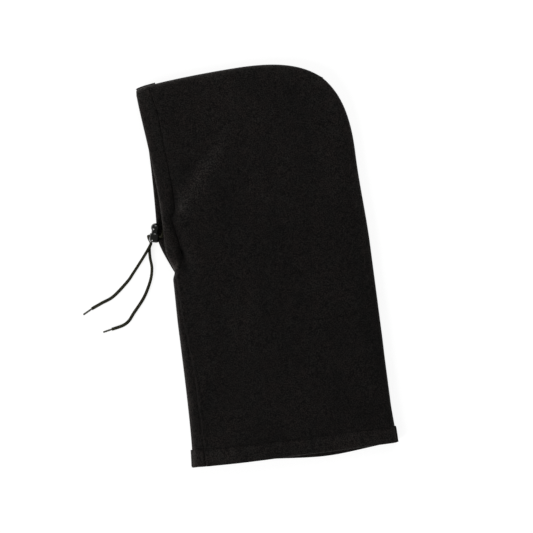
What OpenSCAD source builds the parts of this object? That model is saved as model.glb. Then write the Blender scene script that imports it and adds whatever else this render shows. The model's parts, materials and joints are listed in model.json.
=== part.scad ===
// Fleece balaclava laid flat on its right side, with a drawcord face opening.
// x runs from the face to the back of the head, y from the hem to the crown, z up from the table.
// The origin is on the table, at the middle of the neck, where the hem's folded edge leaves the table.
// All sizes are in millimetres.

/* [Hood] */
// Width of the flattened neck tube
neck_w = 230; // [222:1:238]
// Height of the fold line where the neck turns up
fold_y = 118; // [112:1:122]
// Height of the chin, where the face opening starts
chin_y = 236; // [232:1:240]
// Height of the crown above the hem
crown_y = 455.5; // [450:0.5:461]
// Depth of the turned hem
hem_h = 21; // [18:1:24]
// Flare of the hem on each side
hem_flare = 3; // [1:0.5:4]
// How far the hem's mouth stands open in the middle
hem_gape = 3.5; // [3:0.5:4.5]

/* [Fleece] */
// Thickness of one ply of fleece
ply = 2; // [1.8:0.1:2.2]
// Height of the closed seam above the table
seam_z = 5.5; // [5.3:0.1:6]
// Height of the upper side along the back edge
back_h = 11; // [10.5:0.5:12]
// Extra loft in the middle of the upper side
loft = 6; // [3:0.5:8]
// Radius of the rolled edge along a closed seam, seen from above
edge_r = 6; // [5:0.5:7]

/* [Face opening] */
// Width of the drawcord casing
casing_w = 17; // [15:0.5:19]
// Gap between the two sides at the face opening
face_gap = 3.6; // [3.4:0.1:4]

/* [Drawcord] */
// Diameter of the cord
cord_d = 2.8; // [2.4:0.1:2.9]
// Length of each aglet
aglet_l = 12; // [10:1:14]
// Diameter of an aglet
aglet_d = 1.9; // [1.6:0.1:2]

/* [Cord lock] */
// Radius of the barrel at its widest
barrel_r = 6.2; // [6.1:0.1:6.4]
// Radius of the ball on the plunger
ball_r = 5.2; // [5:0.1:5.3]
// Travel of the plunger
press = 1.5; // [1:0.1:1.5]

/* [Hidden] */
$fn = 48;
half_w = neck_w / 2;
cord_r = cord_d / 2;
channel_h = cord_d + 0.2;                 // clear height of the casing's tunnel
casing_h = 2 * ply + channel_h;           // thickness of one side at the face opening
near_z = casing_h + face_gap;             // underside of the upper side at the face opening
face_h = near_z + casing_h;               // top of the upper side at the face opening
neck_front_h = back_h + 2;                // top of the upper side along the front neck seam
fold_r = casing_h / 2;                    // radius of the casing's folded edge
cord_in = 6;                              // how far the cord lies inside the folded edge
row_l = crown_y - fold_y;                 // length of the hood's rows, fold line to crown
ply_gap = 0.2;                            // air between two plies that lie together
hem_d = 2 * ply + ply_gap;                // thickness of one side at the hem
casing_from = 0.08;                       // the casings' ends, as shares of the face edge
casing_to = 0.91;

// Outline landmarks
nape = [half_w - 3, crown_y - 115.5];
brow = [-half_w - 12.6, crown_y - 12.4];
apex = [0, crown_y];
chin = [-half_w + 2, chin_y];
near_cheek = [-half_w - 1.8, chin_y + 54];
far_cheek = [-half_w - 10.8, chin_y + 40];

// Cord lock: its centre, its turn in the table plane, and heights along its own axis
lock_at = [-half_w - 13, chin_y + 37.5, 11.8];
lock_turn = 13.3;
barrel_top = 4.6;
barrel_foot = -5.9;
cord_hole = 1.2;                          // height of the cords' hole
bore_r = 4.15;
bore_floor = -4.1;
pocket_r = 3.1;                           // the spring's pocket below the plunger's bore
pocket_floor = -5.1;
stem_r = 4.05;
stem_foot = -2.5;
ball_at = 11.3;
strand_gap = cord_r + 0.1;                // each cord's distance from the lock's centre plane
strand_y = [strand_gap, -strand_gap];     // the left cord lies over the right one
swing_at = [-half_w - 18.6, chin_y + 31.5];
swing_gap = 1.6;

fleece = [0.085, 0.078, 0.075];
fleece_inside = [0.11, 0.1, 0.095];
thread = [0.05, 0.05, 0.05];
cord_black = [0.17, 0.17, 0.14];
plastic = [0.12, 0.12, 0.11];
steel = [0.6, 0.6, 0.62];

// ---- Plain helpers ----
function clamp(x) = min(1, max(0, x));
function smooth(x) = let(u = clamp(x)) u * u * (3 - 2 * u);
function mix(a, b, t) = a * (1 - t) + b * t;
function unit(v) = v / norm(v);
function bez(p, t) = let(u = 1 - t)
    u * u * u * p[0] + 3 * u * u * t * p[1] + 3 * u * t * t * p[2] + t * t * t * p[3];
function reversed(a) = [for (i = [len(a) - 1 : -1 : 0]) a[i]];
function bez_run(p, n) = [for (i = [0 : n]) bez(p, i / n)];
function xy(p) = [p[0], p[1]];
function lift(p, z) = [p[0], p[1], z];
// Quarter circle from 0 at the edge to 1 at a distance r inside it
function roll(d, r) = let(u = 1 - clamp(d / r)) sqrt(1 - u * u);
// Column positions from 0 to 1 that crowd together where the two edges roll over
function rolled_steps(width, n) = let(
    edge = [for (a = [0 : 22.5 : 90]) edge_r * (1 - cos(a)) / width], lo = edge[4])
    concat([for (i = [0 : 3]) edge[i]], [for (i = [0 : n]) mix(lo, 1 - lo, i / n)],
        [for (i = [3 : -1 : 0]) 1 - edge[i]]);

// ---- Outline of the flat garment; e moves a closed edge inwards ----
function occiput(e) = [apex - [0, e], [78 - 0.3 * e, crown_y + 1.5 - e],
    [nape[0] - 0.5 - e, nape[1] + 88 - 0.3 * e], nape - [e, 0]];
function crown_front(e) = [brow + [0, -e], [-half_w - 5, crown_y - 6.2 - e],
    [-45, crown_y - 0.5 - e], apex - [0, e]];
near_face = [[chin, chin + [-5.5, 14], chin + [-3.4, 29], near_cheek],
    [near_cheek, near_cheek + [1.3, 60], brow + [-0.8, -10], brow]];
far_face = [[chin, chin + [-6, 12], far_cheek + [-1.7, -14], far_cheek],
    [far_cheek, far_cheek + [3.3, 24], brow + [8.4, -18], brow]];
function face_path(near) = near ? near_face : far_face;
lower_part = (chin_y - fold_y) / (brow[1] - fold_y);  // share of the front edge below the chin

function back_side(v, e) = let(k = 0.696)
    v < k ? mix([half_w - e, fold_y], nape - [e, 0], v / k)
          : bez([for (i = [3 : -1 : 0]) occiput(e)[i]], (v - k) / (1 - k) / 2);
function crown_side(s, e) = let(k = 0.567)
    s < k ? bez(crown_front(e), s / k) : bez(occiput(e), (s - k) / (1 - k) / 2);
// u runs from 0 at the chin to 1 at the brow along the face opening
function face_edge(near, u) = let(k = near ? 0.26 : 0.2, p = face_path(near))
    u < k ? bez(p[0], u / k) : bez(p[1], (u - k) / (1 - k));
function face_inward(near, u) = let(d = 0.01,
    t = unit(face_edge(near, min(1, u + d)) - face_edge(near, max(0, u - d)))) [t[1], -t[0]];
// The panel stops where the casing's fold begins, between the casing's ends
function front_side(near, v, e) = v < lower_part
    ? mix([-half_w, fold_y], chin, v / lower_part) + [e, 0]
    : let(u = (v - lower_part) / (1 - lower_part),
          open = smooth(u / casing_from), top = smooth((u - casing_to) / (1 - casing_to)))
      face_edge(near, u) + face_inward(near, u) * (fold_r * open * (1 - top))
      + [e * (1 - open), -e * top];

// A curved-sided patch between the fold line and the crown
function hood_point(near, s, v, e) = let(
    base0 = [-half_w + e, fold_y], base1 = [half_w - e, fold_y],
    top0 = crown_side(0, e), top1 = crown_side(1, e),
    low = mix(base0, base1, s), high = crown_side(s, e),
    front = front_side(near, v, e), back = back_side(v, e))
    mix(low, high, v) + mix(front, back, s)
    - mix(mix(base0, base1, s), mix(top0, top1, s), v);

// How far a point's edges have rolled in, 0 at a closed edge and 1 inside
function hood_roll(s, v, p) = roll((1 - s) * neck_w, edge_r) * roll((1 - v) * row_l, edge_r)
    * mix(roll(s * neck_w, edge_r), 1, smooth((p[1] - chin_y) / 6));
function neck_roll(s) = roll((1 - s) * neck_w, edge_r) * roll(s * neck_w, edge_r);
// Height of the upper side's outer face away from its edges
function top_h(s, y) = let(front = mix(neck_front_h, face_h, smooth((y - chin_y + 50) / 50)),
    gape = hem_gape * (1 - smooth((y - hem_h) / (fold_y - hem_h))))
    mix(front, back_h, smooth(s))
    + sin(180 * s) * (gape + loft * sin(180 * smooth(y / crown_y * 1.05)));

// z of a side's faces: near is the upper side, out is its outer face
function side_z(near, out, s, y, r) = near
    ? mix(seam_z, top_h(s, y) - (out ? 0 : ply), r)
    : mix(seam_z, out ? 0 : ply, r);

// ---- Sheets and sweeps ----
// Closes two grids of points of the same size into one solid sheet
module sheet(outer, inner) {
    rows = len(outer);
    cols = len(outer[0]);
    n = rows * cols;
    pts = concat([for (r = outer) each r], [for (r = inner) each r]);
    function at(i, j) = i * cols + j;
    rim = concat([for (j = [0 : cols - 1]) at(0, j)], [for (i = [1 : rows - 1]) at(i, cols - 1)],
        [for (j = [cols - 2 : -1 : 0]) at(rows - 1, j)], [for (i = [rows - 2 : -1 : 1]) at(i, 0)]);
    faces = concat(
        [for (i = [0 : rows - 2], j = [0 : cols - 2], h = [0, 1])
            h ? [at(i, j), at(i + 1, j + 1), at(i, j + 1)] : [at(i, j), at(i + 1, j), at(i + 1, j + 1)]],
        [for (i = [0 : rows - 2], j = [0 : cols - 2], h = [0, 1])
            h ? [n + at(i, j), n + at(i, j + 1), n + at(i + 1, j + 1)]
              : [n + at(i, j), n + at(i + 1, j + 1), n + at(i + 1, j)]],
        [for (k = [0 : len(rim) - 1], h = [0, 1]) let(a = rim[k], b = rim[(k + 1) % len(rim)])
            h ? [a, b, n + b] : [a, n + b, n + a]]);
    polyhedron(pts, faces, convexity = 6);
}

// A side of the hood or the neck; the lower side is turned so that its faces point outwards
module side_sheet(near, outer, inner) {
    if (near) sheet(outer, inner); else sheet(inner, outer);
}

// Sweeps a closed profile, given as one ring of points per station
module rings_solid(rings) {
    n = len(rings);
    m = len(rings[0]);
    faces = concat(
        [for (i = [0 : n - 2], j = [0 : m - 1], h = [0, 1]) let(k = (j + 1) % m)
            h ? [i * m + j, (i + 1) * m + k, i * m + k] : [i * m + j, (i + 1) * m + j, (i + 1) * m + k]],
        [[for (j = [0 : m - 1]) j]], [[for (j = [m - 1 : -1 : 0]) (n - 1) * m + j]]);
    polyhedron([for (r = rings) each r], faces, convexity = 6);
}

// Round cord of radius r along a path of points
module cord_along(path, r, sides = 10) {
    ref = unit([1, 1, 1]);
    last = len(path) - 1;
    rings = [for (i = [0 : last])
        let(t = unit(path[min(last, i + 1)] - path[max(0, i - 1)]),
            a = unit(cross(t, ref)), b = cross(t, a))
        [for (k = [0 : sides - 1]) path[i] + r * (cos(360 * k / sides) * a + sin(360 * k / sides) * b)]];
    rings_solid(rings);
}

// ---- Hood panels ----
hood_cols = rolled_steps(neck_w, 9);
casing_steps = 18;
casing_us = [for (i = [0 : casing_steps]) mix(casing_from, casing_to, i / casing_steps)];
hood_rows = concat([for (i = [0 : 6]) lower_part * i / 6],
    [for (u = concat([0.03, 0.055], casing_us)) mix(lower_part, 1, u)],
    [for (a = [90 : -22.5 : 0]) 1 - edge_r * (1 - cos(a)) / row_l]);

function hood_grid(near, out) = [for (v = hood_rows) [for (s = hood_cols)
    let(p = hood_point(near, s, v, out ? 0 : ply), q = hood_point(near, s, v, 0))
    lift(p, side_z(near, out, s, q[1], hood_roll(s, v, q)))]];

module hood_panel(near) {
    color(fleece) side_sheet(near, hood_grid(near, true), hood_grid(near, false));
}

// ---- Neck panels ----
function flare(y) = hem_flare * (1 - smooth(y / (hem_h * 1.6)));
neck_rows = [for (i = [0 : 7]) fold_y * pow(i / 7, 1.3)];
function neck_point(s, y, e) = let(w = half_w + flare(y) - e) [mix(-w, w, s), y];
function neck_grid(near, out) = [for (y = neck_rows) [for (s = hood_cols)
    lift(neck_point(s, y, out ? 0 : ply), side_z(near, out, s, y, neck_roll(s)))]];

module neck_panel(near) {
    color(fleece) side_sheet(near, neck_grid(near, true), neck_grid(near, false));
}

// ---- Turned-in edges: the ply folds round a half circle and runs back inside to a depth ----
// Distance in from the fold, and height from the fold's middle, of the outer or the inner face
function fold_profile(r, depth, turn, nose) = concat(
    [for (a = [0 : 22.5 : 180]) [nose * (1 - sin(a)), turn * r * cos(a)]], [[depth, -turn * r]]);

// Turned hems. The inner ply stops short of the side seams.
hem_inset = 9;
function hem_row(near, t, out) = let(
    w = half_w + flare(hem_h), x = mix(hem_inset - w, w - hem_inset, t),
    mid = (near ? top_h((x + w) / (2 * w), 0) : hem_d) - hem_d / 2,
    r = out ? hem_d / 2 : ply_gap / 2)
    [for (q = fold_profile(r, hem_h + r, near ? 1 : -1, r)) [x, q[0] - r, mid + q[1]]];

module turned_hem(near) {
    n = 14;
    color(fleece_inside) side_sheet(near, [for (i = [0 : n]) hem_row(near, i / n, true)],
        [for (i = [0 : n]) hem_row(near, i / n, false)]);
}

// Face casings: the panel's edge folded in to make the drawcord's tunnel
function casing_row(near, u, out) = let(
    p = face_edge(near, u), inward = face_inward(near, u), mid = (near ? near_z : 0) + fold_r,
    r = out ? fold_r : fold_r - ply)
    [for (q = fold_profile(r, casing_w + 3 - fold_r + r, near ? 1 : -1, r))
        lift(p + inward * (q[0] + fold_r - r), mid + q[1])];

module face_casing(near) {
    color(fleece_inside) difference() {
        side_sheet(near, [for (u = reversed(casing_us)) casing_row(near, u, true)],
            [for (u = reversed(casing_us)) casing_row(near, u, false)]);
        translate(lift(eyelet_at(near), (near ? near_z : casing_h - ply) - 0.5))
            cylinder(r = eyelet_hole + 0.5, h = ply + 1);
    }
}

// ---- Seam allowances: the plies of each closed seam, pressed together on the inside ----
// A wedge at the seam that opens to two plies; e is the distance in from the garment's edge
allowance_profile = [[2.9, 0.1], [4.8, 1.5], [9, 1.5], [9, -1.5], [4.8, -1.5], [2.9, -0.1]];

module allowance(stations) {
    color(fleece_inside) rings_solid(reversed(stations));
}

// One station of the crown seam; t runs from 0 at the fold line to 3 near the brow
function crown_station(t) = [for (q = allowance_profile) let(e = q[0])
    lift(t < 1 ? mix([half_w - e, fold_y], nape - [e, 0], t)
        : t < 2 ? bez(reversed(occiput(e)), t - 1)
        : bez(reversed(crown_front(e)), (t - 2) * 0.7), seam_z + q[1])];

module crown_seam_allowance() allowance([for (i = [0 : 36]) crown_station(i / 12)]);

module straight_allowance(side, from_y, to_y, lean) {
    ends = [for (k = [0, 1]) [for (q = allowance_profile)
        [side * (half_w - q[0]) + k * lean, k ? to_y : from_y, seam_z + q[1]]]];
    allowance(side > 0 ? ends : reversed(ends));
}

// ---- Stitching: threads that run down through both plies, one per stitch ----
stitch_pitch = 3.4;
stitch_r = 0.35;
stitch_sink = 0.5;                        // how deep each end lies below the cloth's face

module stitch(at, low, high) {
    translate(lift(at, low + stitch_sink))
        cylinder(r = stitch_r, h = high - low - 2 * stitch_sink, $fn = 16);
}

// The length of a list of points up to point i, and the point at a distance d along it
function run_length(p, i) = i == 0 ? 0 : run_length(p, i - 1) + norm(p[i] - p[i - 1]);
function at_distance(p, d, i = 0) = let(step = norm(p[i + 1] - p[i]))
    d <= step || i == len(p) - 2 ? mix(p[i], p[i + 1], d / step) : at_distance(p, d - step, i + 1);

module casing_stitching(near) {
    low = near ? near_z : 0;
    line = [for (u = casing_us) face_edge(near, u) + face_inward(near, u) * casing_w];
    margin = 3;
    run = run_length(line, len(line) - 1) - 2 * margin;
    count = floor(run / stitch_pitch);
    color(thread) for (i = [0 : count]) {
        stitch(at_distance(line, margin + run * i / count), low, low + casing_h);
    }
}

module hem_stitching(near) {
    margin = hem_inset + 2;
    count = floor((neck_w - 2 * margin) / stitch_pitch);
    color(thread) for (i = [0 : count]) {
        s = mix(margin / neck_w, 1 - margin / neck_w, i / count);
        high = near ? top_h(s, hem_h) : hem_d;
        stitch([neck_point(s, 0, 0)[0], hem_h - 2.5], high - hem_d, high);
    }
}

module chin_bar_tack() {
    tack_l = 7;
    tack_r = 0.5;
    pitch = 1.1;
    color(thread) for (i = [0 : 5])
        translate([chin[0] + 0.9 + pitch * i, chin_y - tack_l - 2, seam_z]) rotate([-90, 0, 0])
            cylinder(r = tack_r, h = tack_l, $fn = 24);
}

// ---- Eyelets: stitched rings where the cord leaves the casing ----
eyelet_hole = 1.65;
eyelet_rim = 1.5;                         // width of the stitched ring round the hole
far_eyelet_in = 13;                       // the lower side's eyelet lies deeper than the cord's tunnel
function eyelet_u(near) = near ? 0.27 : 0.225;
function eyelet_in(near) = near ? cord_in : far_eyelet_in;
function eyelet_at(near) = let(u = eyelet_u(near))
    face_edge(near, u) + face_inward(near, u) * eyelet_in(near);

module eyelet(near) {
    z = near ? near_z : casing_h - ply;
    color(thread) translate(lift(eyelet_at(near), z)) difference() {
        union() {
            cylinder(r = eyelet_hole + 0.45, h = ply);
            translate([0, 0, near ? -0.3 : ply]) cylinder(r = eyelet_hole + eyelet_rim, h = 0.3);
        }
        translate([0, 0, -1]) cylinder(r = eyelet_hole, h = ply + 2);
    }
}

// ---- Drawcord: left lead, tunnel round the face, right lead, as one cord ----
function tunnel(near, from, to, n) = [for (i = [0 : n]) let(u = mix(from, to, i / n))
    lift(face_edge(near, u) + face_inward(near, u) * cord_in, near ? near_z + fold_r : fold_r)];

// A point given in the lock's own frame: out along the cords, up, and towards the ball
function lock_point(v) = let(c = cos(lock_turn), s = sin(lock_turn))
    lock_at + v[0] * [-c, s, 0] + v[1] * [0, 0, 1] + v[2] * [s, c, 0];

// From the eyelet down into the gap, out under the upper casing's edge, and up into the barrel
lead_bend = 1.9;                          // radius of the turn below the eyelet
gates = [[-half_w - 1.3, chin_y + 45.5], [-half_w - 0.8, chin_y + 39.6]];
gate_reach = [2.6, 1];                    // how far each lead runs straight on past the edge
mouth_rise = [0.8, -1.1];                 // how far above the mouth's own line it comes in
function lead(near) = let(
    side = near ? 1 : -1, k = near ? 0 : 1, eye = eyelet_at(near), mid_z = casing_h + face_gap / 2,
    mouth = lock_point([-barrel_r - 0.3, strand_y[k], cord_hole]),
    end = lock_point([-1.2, strand_y[k], cord_hole]),
    gate = lift(gates[k], mid_z + 0.1),
    run = unit(end - mouth), toward = unit(lift(xy(gate) - eye, 0)))
    concat([for (a = [0 : 22.5 : 90]) lift(eye, mid_z + side * lead_bend * (1 - sin(a)))
            + toward * lead_bend * (1 - cos(a))],
        near ? [gate - toward * 3] : [],
        bez_run([gate, gate + toward * gate_reach[k], mouth - run * 3 + [0, 0, mouth_rise[k]], mouth], 10),
        [end]);

// The turn from the tunnel down through the eyelet, tight against the ply
function eyelet_drop(near, from) = let(
    z = near ? near_z + fold_r : fold_r, side = near ? -1 : 1, r = 1.5, eye = eyelet_at(near),
    back = unit(xy(from) - eye))
    [for (a = [90 : -30 : 0]) lift(eye + back * r * (1 - cos(a)), z + side * r * (1 - sin(a)))];

module drawcord() {
    near_z_mid = near_z + fold_r;
    turn_r = (near_z_mid - fold_r) / 2;
    top_u = 0.905;
    near_run = tunnel(true, eyelet_u(true) + 0.03, top_u, 14);
    far_run = tunnel(false, top_u, eyelet_u(false) + 0.08, 14);
    brow_turn = [for (a = [15 : 15 : 165])
        mix(near_run[14], far_run[0], (1 - cos(a)) / 2) + [0, turn_r * sin(a), 0]];
    path = concat(reversed(lead(true)), reversed(eyelet_drop(true, near_run[0])), near_run, brow_turn,
        far_run, eyelet_drop(false, far_run[14]), lead(false));
    color(cord_black) cord_along(path, cord_r);
}

// ---- Cord lock, built upright in its own frame: X to the cords' exit, Z to the plunger's ball ----
module lock_place() {
    translate(lock_at) rotate([0, 0, -lock_turn]) rotate([-90, 0, 0]) rotate([0, 0, 180]) children();
}

// Opening for two cords side by side, along X, stretched along Z by travel
module cord_slot(r, travel) {
    for (z = [cord_hole, cord_hole + travel], y = strand_y)
        translate([-10, y, z]) rotate([0, 90, 0]) cylinder(r = r, h = 20);
    translate([-10, -strand_gap, cord_hole - r]) cube([20, 2 * strand_gap, 2 * r + travel]);
    translate([-10, -strand_gap - r, cord_hole]) cube([20, 2 * (strand_gap + r), max(travel, 0.01)]);
}

// Barrel: a rounded cup, full in the middle and drawn in to both ends
module cord_lock_barrel() {
    swell = 2.8;                          // 2 would be an ellipse, and more is fuller
    half_l = 6.4;                         // where the full curve would close to a point
    rim = function (z) barrel_r * pow(1 - pow(abs(z / half_l), swell), 1 / swell);
    outside = [for (i = [0 : 16]) let(z = mix(barrel_foot, barrel_top, i / 16)) [rim(z), z]];
    inside = [[bore_r, barrel_top], [bore_r, bore_floor], [pocket_r, bore_floor],
        [pocket_r, pocket_floor], [0, pocket_floor], [0, barrel_foot]];
    color(plastic) lock_place() difference() {
        rotate_extrude($fn = 96) polygon(concat(outside, inside));
        cord_slot(cord_r + 0.12, 0);
    }
}

// Plunger: a stem that runs in the barrel's bore, and a ball with a blind hole in its side
module cord_lock_plunger() {
    dimple_r = 1.5;
    color(plastic) lock_place() difference() {
        union() {
            translate([0, 0, stem_foot]) cylinder(r = stem_r, h = ball_at - stem_foot);
            translate([0, 0, ball_at]) sphere(r = ball_r, $fn = 64);
        }
        cord_slot(cord_r + 0.12, press);
        translate([0, 0, ball_at]) rotate([55, -20, 0]) translate([0, 0, ball_r / 2])
            cylinder(r = dimple_r, h = ball_r);
    }
}

module cord_lock_spring() {
    wire = 0.25;
    coil_r = 2.6;
    turns = 2.25;
    low = pocket_floor + wire + 0.05;
    rise = stem_foot - wire - 0.05 - low;
    steps = 40;
    ring = 6;
    rings = [for (i = [0 : steps]) let(a = 360 * turns * i / steps)
        [for (k = [0 : ring - 1]) let(q = 360 * k / ring, r = coil_r + wire * cos(q))
            [r * cos(a), r * sin(a), low + rise * i / steps + wire * sin(q)]]];
    color(steel) lock_place() rings_solid(reversed(rings));
}

// ---- The cords beyond the lock: k is 0 for the left cord, which lies on top, and 1 for the right ----
tails_apart = 3.1;                        // height of the left tail over the right one at the lock
tail_start_z = [cord_r + 0.1 + tails_apart, cord_r + 0.1];
tail_start = function (k) [swing_at[0], swing_at[1], tail_start_z[k]];

// Each cord leaves the barrel and curls down and under it towards its swing point
strand_reach = [6.5, 2.4];                // how far each cord runs straight out of the barrel
strand_come_in = [[-5.2, 5.2, 0.4], [-2.6, 4.6, -0.6]];
function strand(k) = let(
    inside = lock_point([-0.9, strand_y[k], cord_hole]),
    out = lock_point([barrel_r + 0.1, strand_y[k], cord_hole]),
    run = unit(out - inside), end = tail_start(k) + [0, swing_gap, 0])
    concat([inside], bez_run([out, out + run * strand_reach[k], end + strand_come_in[k], end], 12),
        [end - [0, 0.1, 0]]);

module cord_strands() {
    color(cord_black) for (k = [0, 1]) cord_along(strand(k), cord_r);
}

// Both tails run out over the table; the left one clears the right one before it sinks to the table
left_bends = [[-3.4, -5.5], [-10.2, -14.2], [-23.8, -30], [-33, -40.3], [-51.2, -55.1],
    [-65.5, -61], [-78.8, -66.4]];
right_bends = [[-2.6, -5.5], [-3.3, -16], [-2.8, -28.7], [-6.5, -42.7], [-16.2, -60.7],
    [-30.5, -77.5], [-37, -85.3], [-44.5, -89.8], [-56.6, -92.3]];
tail_sink_from = 13;                      // the tails sink to the table over this stretch
tail_sink_run = 24;

function catmull(p, i, t) = let(last = len(p) - 1,
    a = p[max(0, i - 1)], b = p[i], c = p[min(last, i + 1)], d = p[min(last, i + 2)])
    0.5 * (2 * b + (c - a) * t + (2 * a - 5 * b + 4 * c - d) * t * t + (3 * b - a - 3 * c + d) * t * t * t);

function tail(k) = let(start = tail_start(k), bends = k == 0 ? left_bends : right_bends,
    knots = concat([[0, -0.4]], bends),
    flat = concat([[0, -0.1], [0, -0.4]],
        [for (i = [0 : len(knots) - 2], t = [1 : 4]) catmull(knots, i, t / 4)]))
    [for (q = flat) let(sunk = smooth((norm(q) - tail_sink_from) / tail_sink_run))
        lift(swing_at + q, mix(start[2], cord_r + 0.05, sunk))];

module cord_tail(k) {
    color(cord_black) cord_along(tail(k), cord_r);
}

// Aglet: a crimped sleeve on the cord's end, belled at its mouth, lying on the table
module aglet(k) {
    path = tail(k);
    end = path[len(path) - 1];
    along = end - path[len(path) - 2];
    mouth_r = aglet_d / 2 + 0.15;
    color(plastic) translate([end[0], end[1], mouth_r + 0.02]) rotate([0, 0, atan2(along[1], along[0])])
        translate([0.02, 0, 0]) rotate([0, 90, 0]) union() {
            cylinder(r = aglet_d / 2, h = aglet_l);
            cylinder(r1 = mouth_r, r2 = aglet_d / 2, h = 1.5);
        }
}

hood_panel(true);  // left_hood_panel
hood_panel(false);  // right_hood_panel
face_casing(true);  // left_face_casing
face_casing(false);  // right_face_casing
crown_seam_allowance();
straight_allowance(-1, fold_y, chin_y - 12, 1.8);  // chin_seam_allowance
casing_stitching(true);  // left_casing_stitching
casing_stitching(false);  // right_casing_stitching
eyelet(true);  // left_eyelet
eyelet(false);  // right_eyelet
drawcord();
chin_bar_tack();
neck_panel(true);  // left_neck_panel
neck_panel(false);  // right_neck_panel
turned_hem(true);  // left_hem
turned_hem(false);  // right_hem
straight_allowance(-1, hem_h + 2, fold_y, 0);  // front_neck_seam
straight_allowance(1, hem_h + 2, fold_y, 0);  // back_neck_seam
hem_stitching(true);  // left_hem_stitching
hem_stitching(false);  // right_hem_stitching
cord_lock_barrel();
cord_lock_spring();
cord_strands();
cord_lock_plunger();
cord_tail(0);  // left_cord_tail
aglet(0);  // left_aglet
cord_tail(1);  // right_cord_tail
aglet(1);  // right_aglet
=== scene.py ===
"""Black fleece balaclava laid flat on its right side, with a drawcord face opening and a ball cord lock.

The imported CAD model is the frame. The cloth, stitching, cords, cord ends and spring are built here
around it; the cord lock's two mouldings and the eyelets are the CAD parts themselves. Lengths are in
millimetres, and MM turns them into Blender's metres. Of each pair of sides, the near one is the
wearer's left side, which lies on top, and the far one lies on the table.
"""

import json
import math

import bpy
import numpy as np
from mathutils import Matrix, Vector
from mathutils.bvhtree import BVHTree


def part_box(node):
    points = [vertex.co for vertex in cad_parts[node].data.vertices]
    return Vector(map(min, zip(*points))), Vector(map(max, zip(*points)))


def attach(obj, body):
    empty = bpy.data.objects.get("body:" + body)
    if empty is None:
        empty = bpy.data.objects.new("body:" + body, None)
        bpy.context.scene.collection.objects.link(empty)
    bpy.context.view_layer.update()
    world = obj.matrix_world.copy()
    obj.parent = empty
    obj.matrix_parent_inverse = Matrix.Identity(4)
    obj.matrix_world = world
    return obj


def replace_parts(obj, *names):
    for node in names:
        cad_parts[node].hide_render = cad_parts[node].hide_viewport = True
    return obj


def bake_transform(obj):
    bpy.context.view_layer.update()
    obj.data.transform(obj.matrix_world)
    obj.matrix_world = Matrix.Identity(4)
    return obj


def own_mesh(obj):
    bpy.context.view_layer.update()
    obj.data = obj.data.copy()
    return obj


MM = 0.001
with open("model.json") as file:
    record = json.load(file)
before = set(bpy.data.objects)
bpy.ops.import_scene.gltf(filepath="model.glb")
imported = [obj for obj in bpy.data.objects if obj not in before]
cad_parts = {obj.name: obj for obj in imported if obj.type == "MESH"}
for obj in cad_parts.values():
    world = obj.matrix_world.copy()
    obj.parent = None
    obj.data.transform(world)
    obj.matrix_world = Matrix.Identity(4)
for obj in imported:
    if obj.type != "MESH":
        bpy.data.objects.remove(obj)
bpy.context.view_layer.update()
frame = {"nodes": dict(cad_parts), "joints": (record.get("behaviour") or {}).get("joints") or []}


def corners(node):
    """Lowest and highest corner of a CAD node, in millimetres."""
    lo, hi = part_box(node)
    return np.array(lo) / MM, np.array(hi) / MM


# -------- sizes, read from the frame
HOOD_LO, HOOD_HI = corners("left_hood_panel")
CASING_LO, CASING_HI = corners("left_face_casing")
FAR_HI = corners("right_hood_panel")[1]
FAR_CASING_HI = corners("right_face_casing")[1]
TACK_LO, TACK_HI = corners("chin_bar_tack")
HALF_W = HOOD_HI[0]
CROWN_Y = HOOD_HI[1]
FOLD_Y = HOOD_LO[1]
CHIN_Y = TACK_HI[1] + 2
SEAM_Z = FAR_HI[2]  # height at which the two sides meet along their closed edges
FACE_TOP = CASING_HI[2]
FACE_LOW = CASING_LO[2]
FAR_FACE_TOP = FAR_CASING_HI[2]

PLY = 1.7  # cloth thickness that is modelled, a little under the CAD ply
FOLD_R = (FACE_TOP - FACE_LOW) / 2
EDGE_R = 7.5  # plan radius of the roll along a closed edge
HEM_H = 21.0  # depth of the turned hem
HEM_R = 2.1  # radius of the hem's folded edge
HEM_Y = 5.0  # where the upper side's hem ends, above the lowest point of the lower side
LOFT = 5.2  # extra height of the upper side in its middle
GAPE = 3.3  # how far the open hem stands up in its middle
BACK_TOP = 11.2  # height of the upper side along the back edge
NECK_TOP = 13.2  # height of the upper side along the front of the neck
CASING_PLY = 22.0  # how far the ply turned in along the face edge reaches
SEAM_GAP = 0.06  # how far each side's seam allowance stays from SEAM_Z
SEAM_DEEP = 7.0  # depth of the seam allowances
STITCH_PITCH = 3.4


# -------- small maths
def smooth(x):
    u = np.clip(x, 0.0, 1.0)
    return u * u * (3 - 2 * u)


def mix(a, b, t):
    return a * (1 - t) + b * t


def bump(x, width):
    return np.exp(-((x / width) ** 2))


def within(t, rise, fall, last=1.0):
    """1 along the middle of a line, faded to 0 over its first and its last share."""
    return smooth(t / rise) * smooth((last - t) / fall)


def unit(vectors):
    return vectors / np.linalg.norm(vectors, axis=-1, keepdims=True)


def bez(points, t):
    """Points on a cubic Bezier; t is an array."""
    p = np.array(points, float)
    t = np.asarray(t, float)[..., None]
    u = 1 - t
    return u**3 * p[0] + 3 * u * u * t * p[1] + 3 * u * t * t * p[2] + t**3 * p[3]


def roll(d, r):
    """Quarter circle: 0 at the edge, 1 from a distance r inwards."""
    u = 1 - np.clip(d / r, 0, 1)
    return np.sqrt(np.clip(1 - u * u, 0, 1))


def waves(x, y, seed, length, count=7):
    """Smooth wandering value, about -1 to 1, whose features are near length across."""
    r = np.random.default_rng(seed)
    total = np.zeros(np.broadcast(x, y).shape)
    for _ in range(count):
        a = r.uniform(0, 2 * math.pi)
        k = 2 * math.pi / (length * r.uniform(0.7, 1.6))
        total += np.sin(k * (x * math.cos(a) + y * math.sin(a)) + r.uniform(0, 2 * math.pi))
    return total / math.sqrt(count / 2) / 1.6


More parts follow.
